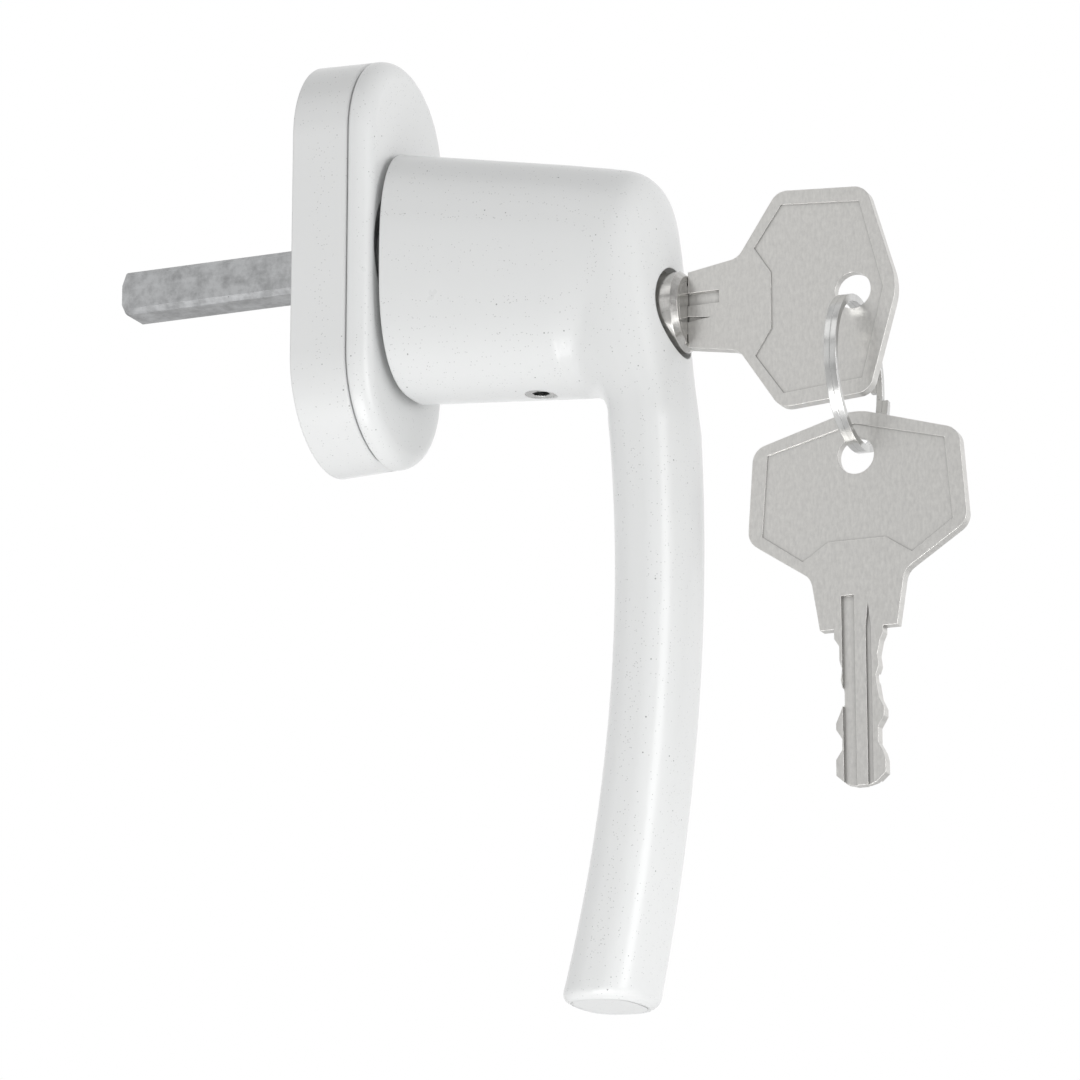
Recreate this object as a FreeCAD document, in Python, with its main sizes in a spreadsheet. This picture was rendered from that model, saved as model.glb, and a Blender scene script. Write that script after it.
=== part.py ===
"""A keyed window handle: rosette, lever with a push lock, square spindle and two keys on a ring.

Millimetres. The origin is the centre of the rosette's back face, on the spindle's axis. +Y points into
the window, -Y to the room, +Z up, and the lever hangs down in its closed position. A "depth" below is a
distance from the back face towards the room, so it is -Y.
"""
import FreeCAD, Part
import math
import os
import re
import Sketcher

SIZES = {
    # rosette
    "plate_half_width": 15.4, "plate_half_height": 33.0, "seam_half_width": 15.0, "seam_half_height": 32.65,
    "base_depth": 8.9, "front_wall": 1.8, "shell_wall": 1.6, "cover_front": 12.5, "cover_wall": 1.4,
    "cover_round": 2.9, "cover_hole": 12.3, "seam_bevel": 0.3, "seam_gap": 0.2,
    "screw_spacing": 43.0, "screw_hole": 2.8, "boss_radius": 4.2, "boss_stand": 3.2, "countersink": 2.2,
    "rib_thickness": 1.3, "rib_inset": 1.6, "cavity_shoulder": 7.6, "cavity_end": 14.9,
    "corner_half_width": 5.0, "brace_half_width": 3.2, "brace_inset": 2.2, "brace_thickness": 1.4,
    "brace_low": 11.2, "brace_high": 13.2, "rib_overlap": 0.3, "spine_start": 3.6, "nub_radius": 1.5,
    "nub_side": 10.6, "nub_level": 20.6, "brace_set_back": 0.8, "wall_joint": 0.4,
    "slot_half_width": 3.2, "slot_cut": 1.1, "slot_run": 3.6,
    # hub, bush and detent
    "hub_radius": 6.4, "hub_back": 5.2, "bush_clearance": 0.05, "bush_radius": 7.6,
    "bush_flange": 9.0, "flange_thickness": 0.35, "clip_front": 6.55, "clip_thickness": 0.7,
    "clip_inner": 5.65, "clip_outer": 7.9, "plate_thickness": 1.5, "plate_inner": 6.9,
    "plate_outer": 12.0, "pin_circle": 9.6, "pin_hole": 1.65, "carrier_inner": 8.4, "carrier_outer": 13.3,
    "carrier_front": 6.7, "carrier_back": 2.7, "ball_radius": 1.5, "ball_centre": 9.65, "rotor_radius": 8.1,
    "rotor_front": 5.0, "rotor_back": 2.75, "washer_front": 2.6, "washer_thickness": 0.25,
    "washer_outer": 12.9, "disc_radius": 12.2, "disc_front": 2.3, "disc_back": 0.8, "mark_circle": 8.3,
    "mark_radius": 2.6, "mark_inner": 2.1, "mark_centre": 1.4, "mark_rise": 0.2, "disc_notch": 1.3,
    # spindle
    "spindle_side": 7.0, "spindle_reach": 36.2, "spindle_front": 46.0, "spindle_bevel": 0.8,
    "spindle_tip": 1.9, "spindle_tip_inset": 1.15, "square_play": 0.05,
    # lever
    "neck_back": 13.6, "neck_front": 41.2, "neck_half_width": 12.9, "neck_top_back": 16.6,
    "neck_top_front": 11.1, "neck_low_back": -22.3, "neck_low_front": -24.4, "throat_radius": 6.5,
    "face_high_depth": 55.9, "face_high_level": 2.5, "arm_start_front": 59.3, "arm_start_back": 47.7,
    "arm_mid_level": -70.0, "arm_mid_front": 58.9, "arm_mid_back": 48.0, "arm_end_level": -118.0,
    "arm_end_front": 52.1, "arm_end_back": 39.8, "arm_half_width": 9.7, "arm_mid_half_width": 9.1,
    "arm_end_half_width": 9.2, "arm_end_round": 1.6,
    # lock cylinder
    "lock_drop": 13.6, "lock_front": 59.3, "lock_back": 29.4, "lock_radius": 6.2, "lock_face": 5.4,
    "lock_bevel": 0.9, "lock_play": 0.06, "lock_travel": 3.5, "bore_back": 19.5, "bush_outer": 7.0,
    "bush_front": 55.2, "bush_back": 46.2, "plug_radius": 4.6, "plug_play": 0.05, "plug_back": 35.2,
    "plug_bore_back": 33.4, "plug_tail": 1.3, "cam_front": 35.1, "cam_back": 33.8, "cam_radius": 4.1,
    "lock_pin_radius": 1.5, "lock_pin_front": 31.6, "lock_pin_back": 10.8, "spring_radius": 1.9,
    "spring_drop": 16.6, "spring_wire": 0.25, "latch_front": 33.0, "latch_back": 30.4,
    "latch_half_height": 1.2, "latch_inner": 1.9, "latch_throw": 0.8, "latch_spring_inner": 0.3,
    "ring_groove_front": 38.6, "ring_groove": 0.6,
    "wafer_first": 41.0, "wafer_pitch": 2.9, "wafer_count": 5, "wafer_thickness": 0.7, "wafer_half_width": 2.15,
    "wafer_radius": 4.5, "lug_reach": 3.3, "coil_centre": 2.85, "coil_radius": 0.34, "coil_wire": 0.09,
    # retaining screw under the neck
    "screw_depth": 35.0, "screw_radius": 2.5, "screw_level": -23.7, "screw_shoulder": -20.3,
    "screw_tip_radius": 1.4, "screw_tip_level": -19.1, "socket_across": 2.5, "socket_deep": 2.0,
    # keys and ring
    "key_thickness": 2.0, "blade_half": 3.75, "blade_length": 23.3, "stem_half": 5.9, "stem_top_half": 7.2,
    "stem_length": 8.0, "bow_side_low": 14.4, "bow_side_high": 28.4, "bow_half": 16.9, "bow_taper": 1.0,
    "bow_length": 33.0, "key_hole_at": 26.0, "key_hole": 2.8, "key_round": 2.7, "peak_round": 9.0,
    "panel_inset": 2.2, "panel_deep": 0.22, "groove_deep": 0.55, "groove_near": 0.6, "groove_far": 2.6,
    "groove_start": 0.62, "rill_deep": 0.35, "rill_middle": 1.5, "rill_half_width": 0.42, "rill_start": 0.45,
    "keyway_half_width": 1.08,
    "keyway_half_height": 3.86, "ward_reach": 0.45, "ward_near": 0.75, "ward_far": 2.4,
    "ring_radius": 11.3, "ring_pitch": 0.93, "ring_width": 0.9, "ring_thick": 1.05, "ring_drop": 1.4,
}

doc = FreeCAD.newDocument("WindowHandle")
sheet = doc.addObject("Spreadsheet::Sheet", "Sizes")
for row, (alias, size_value) in enumerate(SIZES.items(), start=1):
    sheet.set(f"A{row}", alias)
    sheet.set(f"B{row}", str(size_value))
    sheet.setAlias(f"B{row}", alias)
doc.recompute()

ALONG_Y = FreeCAD.Rotation(FreeCAD.Vector(1, 0, 0), -90)
PARTS = []


def in_full(expression):
    """The expression with each of the sheet's names written as Sizes.name."""
    return re.sub(r"[a-z][a-z_]+", lambda word: f"Sizes.{word[0]}" if word[0] in SIZES else word[0],
                  str(expression))


def number(expression):
    """The value of an expression on the sheet."""
    value = sheet.evalExpression(in_full(expression))
    return float(getattr(value, "Value", value))


def bind(thing, path, expression):
    """Drive one property from the sheet."""
    thing.setExpression(path, in_full(expression))


def finished(thing, name):
    """Name a sub-part and keep it for export."""
    thing.Label = name
    PARTS.append((name, thing))
    return thing


# Part primitives -------------------------------------------------------------------------------------

def rod(name, radius, front, back, x="0", z="0"):
    """A round bar along Y between two depths."""
    bar = doc.addObject("Part::Cylinder", name)
    bar.Placement = FreeCAD.Placement(FreeCAD.Vector(), ALONG_Y)
    bind(bar, "Radius", radius)
    bind(bar, "Height", f"({front}) - ({back})")
    bind(bar, "Placement.Base.x", x)
    bind(bar, "Placement.Base.y", f"-({front})")
    bind(bar, "Placement.Base.z", z)
    return bar


def block(name, low_x, high_x, front, back, low_z, high_z):
    """A box between two X values, two depths and two levels."""
    box = doc.addObject("Part::Box", name)
    bind(box, "Length", f"({high_x}) - ({low_x})")
    bind(box, "Width", f"({front}) - ({back})")
    bind(box, "Height", f"({high_z}) - ({low_z})")
    bind(box, "Placement.Base.x", low_x)
    bind(box, "Placement.Base.y", f"-({front})")
    bind(box, "Placement.Base.z", low_z)
    return box


def joined(name, shapes):
    """Several shapes as one."""
    fuse = doc.addObject("Part::MultiFuse", name)
    fuse.Shapes = shapes
    return fuse


def cut(name, base, tools):
    """The base with the tools taken out of it one after another."""
    for index, tool in enumerate(tools, start=1):
        result = doc.addObject("Part::Cut", name if index == len(tools) else f"{name}_cut_{index}")
        result.Base = base
        result.Tool = tool
        base = result
    return base


def tube(name, outer, inner, front, back, z="0"):
    """A ring or sleeve along Y."""
    return cut(name, rod(f"{name}_outside", outer, front, back, z=z),
               [rod(f"{name}_inside", inner, f"{front} + 1", f"{back} - 1", z=z)])


def coil(name, radius, wire, length, turns, base, turn):
    """A round-wire compression spring whose axis is turned from +Z by `turn`."""
    helix = doc.addObject("Part::Helix", f"{name}_helix")
    bind(helix, "Radius", radius)
    bind(helix, "Height", f"({length}) - 2 * ({wire}) - 0.02")
    bind(helix, "Pitch", f"(({length}) - 2 * ({wire}) - 0.02) / {turns}")
    section = doc.addObject("Part::Circle", f"{name}_section")
    bind(section, "Radius", wire)
    bind(section, "Placement.Base.x", radius)
    section.Placement.Rotation = FreeCAD.Rotation(FreeCAD.Vector(1, 0, 0), 90)
    spring = doc.addObject("Part::Sweep", name)
    spring.Sections = [section]
    spring.Spine = (helix, ["Edge1"])
    spring.Solid = True
    spring.Frenet = True
    doc.recompute()
    spring.Placement.Rotation = turn
    start = turn.multVec(FreeCAD.Vector(0, 0, 1))
    for letter, place, step in zip("xyz", base, start):
        bind(spring, f"Placement.Base.{letter}", f"{place} + ({wire} + 0.01) * {round(step, 6)}")
    return spring


# PartDesign bodies -----------------------------------------------------------------------------------

def new_body(name):
    return doc.addObject("PartDesign::Body", name)


def sketch_on(body, role, lift="0", shift="0"):
    """A sketch on one of the body's own planes. On XZ_Plane, lift is a depth and shift a level."""
    sketch = body.newObject("Sketcher::SketchObject", f"{body.Name}_sketch")
    plane = next(feature for feature in body.Origin.OriginFeatures if feature.Role == role)
    sketch.AttachmentSupport = [(plane, "")]
    sketch.MapMode = "FlatFace"
    bind(sketch, "AttachmentOffset.Base.y", shift)
    bind(sketch, "AttachmentOffset.Base.z", lift)
    return sketch


def hold(sketch, kind, expression, *where):
    """A driving constraint."""
    index = sketch.addConstraint(Sketcher.Constraint(kind, *where, number(expression)))
    bind(sketch, f"Constraints[{index}]", expression)


def hold_point(sketch, geometry, point, x, y):
    hold(sketch, "DistanceX", x, geometry, point)
    hold(sketch, "DistanceY", y, geometry, point)


def circle(sketch, x, y, radius):
    centre = FreeCAD.Vector(number(x), number(y), 0)
    ring = sketch.addGeometry(Part.Circle(centre, FreeCAD.Vector(0, 0, 1), number(radius)))
    hold_point(sketch, ring, 3, x, y)
    hold(sketch, "Radius", radius, ring)


def polygon(sketch, points):
    """A closed outline through corners given as pairs of expressions."""
    places = [FreeCAD.Vector(number(x), number(y), 0) for x, y in points]
    lines = [sketch.addGeometry(Part.LineSegment(start, end))
             for start, end in zip(places, places[1:] + places[:1])]
    for line, following in zip(lines, lines[1:] + lines[:1]):
        sketch.addConstraint(Sketcher.Constraint("Coincident", line, 2, following, 1))
    for line, (x, y) in zip(lines, points):
        hold_point(sketch, line, 1, x, y)


def rectangle(sketch, low_x, high_x, low_y, high_y):
    polygon(sketch, [(low_x, low_y), (high_x, low_y), (high_x, high_y), (low_x, high_y)])


def stadium(sketch, half_width, half_height):
    """An upright oval with straight sides and full round ends."""
    width = number(half_width)
    end = number(half_height) - width
    up = FreeCAD.Vector(0, 0, 1)
    top = sketch.addGeometry(Part.ArcOfCircle(Part.Circle(FreeCAD.Vector(0, end, 0), up, width), 0, math.pi))
    left = sketch.addGeometry(Part.LineSegment(FreeCAD.Vector(-width, end, 0), FreeCAD.Vector(-width, -end, 0)))
    low = sketch.addGeometry(Part.ArcOfCircle(Part.Circle(FreeCAD.Vector(0, -end, 0), up, width), math.pi,
                                              2 * math.pi))
    right = sketch.addGeometry(Part.LineSegment(FreeCAD.Vector(width, -end, 0), FreeCAD.Vector(width, end, 0)))
    for first, second in ((top, left), (left, low), (low, right), (right, top)):
        sketch.addConstraint(Sketcher.Constraint("Tangent", first, 2, second, 1))
    hold(sketch, "DistanceX", "0", top, 3)
    hold(sketch, "DistanceX", "0", low, 3)
    hold(sketch, "DistanceY", f"({half_height}) - ({half_width})", top, 3)
    hold(sketch, "DistanceY", f"({half_width}) - ({half_height})", low, 3)
    hold(sketch, "Radius", half_width, top)


def pad(body, sketch, length):
    """Raise a sketch along its normal, which on XZ_Plane is towards the room."""
    feature = body.newObject("PartDesign::Pad", f"{body.Name}_pad")
    feature.Profile = sketch
    bind(feature, "Length", length)
    doc.recompute()
    return feature


def pocket(body, sketch, length, forwards=False, both_ways=False):
    """Cut a sketch backwards, or towards the room when `forwards` is set."""
    before = body.Shape.Volume
    feature = body.newObject("PartDesign::Pocket", f"{body.Name}_pocket")
    feature.Profile = sketch
    bind(feature, "Length", length)
    feature.Reversed = forwards
    feature.Midplane = both_ways
    doc.recompute()
    if not body.Shape.Volume < before - 1e-6:
        raise RuntimeError(f"{feature.Name} cuts nothing")
    return feature


def dress(body, kind, edges, size):
    """Round or bevel the edges that a test picks out."""
    base = body.Tip
    names = [f"Edge{index}" for index, edge in enumerate(body.Shape.Edges, start=1) if edges(edge)]
    feature = body.newObject(f"PartDesign::{kind}", f"{body.Name}_{kind.lower()}")
    feature.Base = (base, names)
    bind(feature, "Radius" if kind == "Fillet" else "Size", size)
    doc.recompute()
    return feature


def edge_at_depth(depth, length=None):
    """A test for edges that lie in the plane at a depth, and if given, have a length."""
    level = -number(depth)

    def test(edge):
        box = edge.BoundBox
        flat = abs(box.YMin - level) < 1e-4 and abs(box.YMax - level) < 1e-4
        return flat and (length is None or abs(edge.Length - length) < 0.01)
    return test


# Rosette ---------------------------------------------------------------------------------------------

def rosette_base():
    """Thin oval shell, open at the back, with two screw bosses and a pry slot at its lower end."""
    body = new_body("rosette_base")
    back = sketch_on(body, "XZ_Plane")
    stadium(back, "plate_half_width", "plate_half_height")
    shoulder = sketch_on(body, "XZ_Plane", "base_depth - seam_bevel")
    stadium(shoulder, "seam_half_width", "seam_half_height")
    front = sketch_on(body, "XZ_Plane", "base_depth")
    stadium(front, "seam_half_width - seam_bevel", "seam_half_height - seam_bevel")
    shell = body.newObject("PartDesign::AdditiveLoft", "rosette_base_shell")
    shell.Profile = back
    shell.Sections = [shoulder, front]
    shell.Ruled = True
    doc.recompute()
    hollow = sketch_on(body, "XZ_Plane")
    stadium(hollow, "plate_half_width - shell_wall", "plate_half_height - shell_wall")
    pocket(body, hollow, "base_depth - front_wall", forwards=True)
    bosses = sketch_on(body, "XZ_Plane", "-boss_stand")
    for side in ("", "-"):
        circle(bosses, "0", f"{side}screw_spacing / 2", "boss_radius")
    pad(body, bosses, "boss_stand + base_depth - front_wall / 2")
    side = "plate_half_width - shell_wall + rib_overlap"
    ribs = "base_depth - front_wall - rib_inset + wall_joint"
    low_ribs = f"{ribs} - brace_set_back"
    for rise in (1, -1):
        for turn in (1, -1):
            wall = sketch_on(body, "XZ_Plane", "rib_inset")
            polygon(wall, [(f"{turn} * ({side})", f"{rise} * cavity_shoulder"),
                           (f"{turn} * corner_half_width", f"{rise} * cavity_end"),
                           ("0", f"{rise} * cavity_end"),
                           ("0", f"{rise} * (cavity_end + rib_thickness)"),
                           (f"{turn} * (corner_half_width + 0.6)", f"{rise} * (cavity_end + rib_thickness)"),
                           (f"{turn} * ({side})", f"{rise} * (cavity_shoulder + 1.4 * rib_thickness)")])
            pad(body, wall, ribs)
            brace = sketch_on(body, "XZ_Plane", "rib_inset + brace_set_back")
            polygon(brace, [(f"{turn} * brace_half_width", f"{rise} * (screw_spacing / 2 - brace_inset)"),
                            (f"{turn} * ({side})", f"{rise} * brace_low"),
                            (f"{turn} * ({side})", f"{rise} * brace_high"),
                            (f"{turn} * (brace_half_width + 0.7)",
                             f"{rise} * (screw_spacing / 2 - brace_inset + brace_thickness)")])
            pad(body, brace, low_ribs)
            nub = sketch_on(body, "XZ_Plane", "rib_inset + brace_set_back")
            circle(nub, f"{turn} * nub_side", f"{rise} * nub_level", "nub_radius")
            pad(body, nub, low_ribs)
        spine = sketch_on(body, "XZ_Plane", "rib_inset + brace_set_back")
        polygon(spine, [(f"{half} * rib_thickness / 2", f"{rise} * ({level})") for half, level in
                        ((-1, "screw_spacing / 2 + spine_start"), (1, "screw_spacing / 2 + spine_start"),
                         (1, "plate_half_height - shell_wall + rib_overlap"),
                         (-1, "plate_half_height - shell_wall + rib_overlap"))])
        pad(body, spine, low_ribs)
    holes = sketch_on(body, "XZ_Plane", "-boss_stand")
    for side in ("", "-"):
        circle(holes, "0", f"{side}screw_spacing / 2", "screw_hole")
    pocket(body, holes, "boss_stand + base_depth + 1", forwards=True)
    mouth = 2 * math.pi * number("screw_hole")
    dress(body, "Chamfer", edge_at_depth("base_depth", mouth), "countersink")
    middle = sketch_on(body, "XZ_Plane", "base_depth")
    circle(middle, "0", "0", "bush_radius")
    pocket(body, middle, "front_wall + 0.5")
    pin_holes = sketch_on(body, "XZ_Plane", "base_depth")
    for x, z in (("pin_circle", "0"), ("-pin_circle", "0"), ("0", "pin_circle"), ("0", "-pin_circle")):
        circle(pin_holes, x, z, "pin_hole")
    pocket(body, pin_holes, "front_wall - 0.1")
    scoop = sketch_on(body, "YZ_Plane")
    polygon(scoop, [("-base_depth - 0.2", "-plate_half_height + slot_cut"),
                    ("-base_depth - 0.2", "-plate_half_height - 1"),
                    ("-base_depth + slot_run", "-plate_half_height - 1")])
    pocket(body, scoop, "2 * slot_half_width", both_ways=True)
    return finished(body, "rosette_base")


def rosette_cover():
    """Oval cap with a rounded front edge and a round hole for the hub and the lock pin."""
    body = new_body("rosette_cover")
    outline = sketch_on(body, "XZ_Plane", "base_depth + seam_gap")
    stadium(outline, "seam_half_width", "seam_half_height")
    pad(body, outline, "cover_front - base_depth - seam_gap")
    dress(body, "Fillet", edge_at_depth("cover_front"), "cover_round")
    dress(body, "Chamfer", edge_at_depth("base_depth + seam_gap"), "seam_bevel")
    hollow = sketch_on(body, "XZ_Plane", "base_depth + seam_gap")
    stadium(hollow, "seam_half_width - cover_wall", "seam_half_height - cover_wall")
    pocket(body, hollow, "cover_front - cover_wall - base_depth - seam_gap", forwards=True)
    middle = sketch_on(body, "XZ_Plane", "cover_front")
    circle(middle, "0", "0", "cover_hole")
    pocket(body, middle, "cover_wall + 0.5")
    return finished(body, "rosette_cover")


def lock_plate():
    """Steel ring on the base's front face, with a hole for the lock pin at each quarter turn."""
    body = new_body("lock_plate")
    ring = sketch_on(body, "XZ_Plane", "base_depth")
    circle(ring, "0", "0", "plate_outer")
    circle(ring, "0", "0", "plate_inner")
    pad(body, ring, "plate_thickness")
    first = sketch_on(body, "XZ_Plane", "base_depth + plate_thickness")
    circle(first, "0", "-pin_circle", "pin_hole")
    hole = pocket(body, first, "plate_thickness + 0.5")
    quarters = body.newObject("PartDesign::PolarPattern", "lock_plate_quarters")
    quarters.Originals = [hole]
    quarters.Axis = (next(f for f in body.Origin.OriginFeatures if f.Role == "Y_Axis"), [""])
    quarters.Angle = 360
    quarters.Occurrences = 4
    body.Tip = quarters
    doc.recompute()
    return finished(body, "lock_plate")


def bearing_bush():
    """Flanged plastic bush in the front wall, in which the lever's hub turns."""
    sleeve = rod("bush_sleeve", "bush_radius", "base_depth", "base_depth - front_wall")
    flange = rod("bush_collar", "bush_flange", "base_depth - front_wall",
                 "base_depth - front_wall - flange_thickness")
    bore = rod("bush_bore", "hub_radius + bush_clearance", "base_depth + 1", "base_depth - front_wall - 2")
    return finished(cut("bearing_bush", joined("bush_blank", [sleeve, flange]), [bore]), "bearing_bush")


def detent_carrier():
    """Plastic ring behind the front wall, with a pocket above and below for a ball and its spring."""
    ring = tube("carrier_ring", "carrier_outer", "carrier_inner", "carrier_front", "carrier_back")
    pockets = []
    for name, turn in (("upper", 0), ("lower", 180)):
        bore = doc.addObject("Part::Cylinder", f"carrier_{name}_pocket")
        bore.Placement.Rotation = FreeCAD.Rotation(FreeCAD.Vector(0, 1, 0), turn)
        bind(bore, "Radius", "ball_radius + 0.06")
        bind(bore, "Height", "carrier_outer - 0.5")
        bind(bore, "Placement.Base.y", "-(carrier_front + carrier_back) / 2")
        pockets.append(bore)
    return finished(cut("detent_carrier", ring, pockets), "detent_carrier")


def detent_balls():
    """Two steel balls that ride on the notched rotor's rim."""
    balls = []
    for name, side in (("upper", ""), ("lower", "-")):
        ball = doc.addObject("Part::Sphere", f"{name}_ball")
        bind(ball, "Radius", "ball_radius")
        bind(ball, "Placement.Base.y", "-(carrier_front + carrier_back) / 2")
        bind(ball, "Placement.Base.z", f"{side}ball_centre")
        balls.append(ball)
    return finished(joined("detent_balls", balls), "detent_balls")


def detent_springs():
    """Two short springs that press the balls inwards."""
    inner = "(ball_centre + ball_radius)"
    length = f"carrier_outer - 0.55 - {inner}"
    middle = "-(carrier_front + carrier_back) / 2"
    springs = []
    for name, side, turn in (("upper", "", 0), ("lower", "-", 180)):
        rotation = FreeCAD.Rotation(FreeCAD.Vector(0, 1, 0), turn)
        springs.append(coil(f"{name}_detent_spring", "1.05", "0.16", length, 2.5,
                            ("0", middle, f"{side}{inner}"), rotation))
    return finished(joined("detent_springs", springs), "detent_springs")


# What turns with the lever ---------------------------------------------------------------------------

def lever_levels():
    """The arm's three stations, from the throat down to its end: level, front depth, back depth, width."""
    start = number("neck_low_front - throat_radius")
    return [(start, number("arm_start_front"), number("arm_start_back"), number("arm_half_width")),
            (number("arm_mid_level"), number("arm_mid_front"), number("arm_mid_back"),
             number("arm_mid_half_width")),
            (number("arm_end_level"), number("arm_end_front"), number("arm_end_back"),
             number("arm_end_half_width"))]


def through_stations(level, stations, column):
    """The parabola through three stations, at a level."""
    total = 0.0
    for this in stations:
        weight = 1.0
        for other in stations:
            if other is not this:
                weight *= (level - other[0]) / (this[0] - other[0])
        total += weight * this[column]
    return total


def rounded_section(centre, long_axis, half_length, half_width, squareness, count=48):
    """A closed ring of points: a superellipse across X and along `long_axis`."""
    power = 2.0 / squareness
    points = []
    for index in range(count):
        angle = 2 * math.pi * index / count
        across, along = math.cos(angle), math.sin(angle)
        x = half_width * math.copysign(abs(across) ** power, across)
        reach = half_length * math.copysign(abs(along) ** power, along)
        points.append(centre + FreeCAD.Vector(x, 0, 0) + long_axis * reach)
    return points + points[:1]


def skin_through(sections):
    """A solid whose side passes through rings of points and whose two ends are flat."""
    surface = Part.BSplineSurface()
    surface.interpolate(sections)
    side = surface.toShape()
    first, last = surface.bounds()[:2]
    ends = [Part.Face(Part.Wire([surface.uIso(place).toShape()])) for place in (first, last)]
    shell = Part.makeShell([side] + ends)
    shell.sewShape()
    solid = Part.makeSolid(shell)
    return solid if solid.Volume > 0 else Part.makeSolid(shell.reversed())


def section_between(low, high, half_width, squareness):
    """A section whose long axis runs from one point of the side view to another."""
    axis = high - low
    return rounded_section((low + high) * 0.5, axis.normalize() if axis.Length else axis,
                           (high - low).Length / 2, half_width, squareness)


def side_point(depth, level):
    return FreeCAD.Vector(0, -depth, level)


def lever_blank():
    """The casting's outer skin: neck, elbow and arm in one, with a rounded end."""
    neck_square, elbow_square, arm_square = 2.65, 2.25, 2.7
    neck_back, neck_front = number("neck_back"), number("neck_front")
    neck = []
    for share in (0.0, 0.1, 0.2, 0.3, 0.4, 0.5, 0.6, 0.7, 0.79, 0.87, 0.94):
        depth = neck_back + share * (neck_front - neck_back)
        top = number("neck_top_back") + share * number("neck_top_front - neck_top_back")
        low = number("neck_low_back") + share * number("neck_low_front - neck_low_back")
        neck.append(section_between(side_point(depth, low), side_point(depth, top),
                                    number("neck_half_width"), neck_square))
    throat = side_point(neck_front, number("neck_low_front - throat_radius"))
    stations = lever_levels()
    top_slope = number("(neck_top_front - neck_top_back) / (neck_front - neck_back)")
    face_high = side_point(number("face_high_depth"), number("face_high_level"))
    face_run = side_point(stations[0][1], stations[0][0]) - face_high
    offset = face_high - throat
    corner_power = 14
    elbow = []
    for degrees in (0, 2.5, 5, 7.5, 9.5, 11.5, 13.5, 15.5, 17.5, 20, 23, 26.5, 31, 36, 42, 48, 54, 60, 66, 72,
                    78, 84, 90):
        angle = math.radians(degrees)
        ray = FreeCAD.Vector(0, -math.sin(angle), math.cos(angle))
        climb = math.cos(angle) - top_slope * math.sin(angle)
        to_top = (number("neck_top_front") - throat.z) / climb if climb > 0.05 else 1e6
        across = ray.z * face_run.y - ray.y * face_run.z
        to_face = (offset.z * face_run.y - offset.y * face_run.z) / across if abs(across) > 1e-9 else 1e6
        if to_face <= 0:
            to_face = 1e6
        outer = (to_top ** -corner_power + to_face ** -corner_power) ** (-1.0 / corner_power)
        share = math.sin(angle) ** 2
        width = number("neck_half_width") + share * (stations[0][3] - number("neck_half_width"))
        square = neck_square + math.sin(2 * angle) * (elbow_square - neck_square)
        square += share * (arm_square - neck_square) * (1 - math.sin(2 * angle))
        elbow.append(section_between(throat + ray * number("throat_radius"), throat + ray * outer,
                                     width, square))
    end_round = number("arm_end_round")
    end_level = stations[2][0] + end_round

    def arm_section(level, inset=0.0):
        front = through_stations(level, stations, 1) - inset
        back = through_stations(level, stations, 2) + inset
        width = through_stations(level, stations, 3) - inset
        return section_between(side_point(back, level), side_point(front, level), width, arm_square)

    arm = []
    share, step = 0.0, 0.018
    while share < 1.0:
        share = min(share + step, 1.0)
        step = min(1.2 * step, 0.04, max(0.2 * (1.0 - share), 0.005))
        arm.append(arm_section(stations[0][0] + share * (end_level - stations[0][0])))
    end = []
    for degrees in (12, 24, 36, 48, 60, 70, 80, 90):
        angle = math.radians(degrees)
        end.append(arm_section(end_level - end_round * math.sin(angle), end_round * (1 - math.cos(angle))))
    return skin_through(neck + elbow + arm + end)


def handle_lever():
    """One casting: hub, neck and arm, bored for the spindle, the lock, its pin and its screw."""
    skin = doc.addObject("Part::Feature", "lever_skin")
    skin.Shape = lever_blank()
    skin.Placement = FreeCAD.Placement()
    hub = rod("lever_hub", "hub_radius", "neck_back + 2", "hub_back")
    blank = joined("lever_body", [skin, hub])
    z = "-lock_drop"
    tools = [
        block("spindle_hole", "-spindle_side / 2 - square_play", "spindle_side / 2 + square_play",
              "spindle_front + 1", "hub_back - 1", "-spindle_side / 2 - square_play",
              "spindle_side / 2 + square_play"),
        rod("lock_mouth", "bush_outer", "lock_front + 4", "bush_back", z=z),
        rod("lock_bore", "lock_radius + lock_play", "bush_back + 0.5", "bore_back", z=z),
        rod("pin_way", "pin_hole", "bore_back + 0.5", "neck_back - 1", z="-pin_circle"),
        tube("clip_groove", "hub_radius + 1", "clip_inner - 0.05", "clip_front + 0.05",
             "clip_front - clip_thickness - 0.05"),
        block("latch_notch", "0", "lock_radius + latch_throw + 0.3", "latch_back - lock_travel + 2.9",
              "latch_back - lock_travel - 0.3", f"{z} - latch_half_height - 0.1",
              f"{z} + latch_half_height + 0.1"),
    ]
    tools.append(latch_ramp())
    screw_hole = doc.addObject("Part::Cylinder", "screw_hole_bore")
    bind(screw_hole, "Radius", "screw_radius")
    bind(screw_hole, "Height", "lock_radius + 4")
    bind(screw_hole, "Placement.Base.y", "-screw_depth")
    bind(screw_hole, "Placement.Base.z", "-lock_drop - lock_radius - 6")
    tools.append(screw_hole)
    return finished(cut("handle_lever", blank, tools), "handle_lever")


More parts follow.
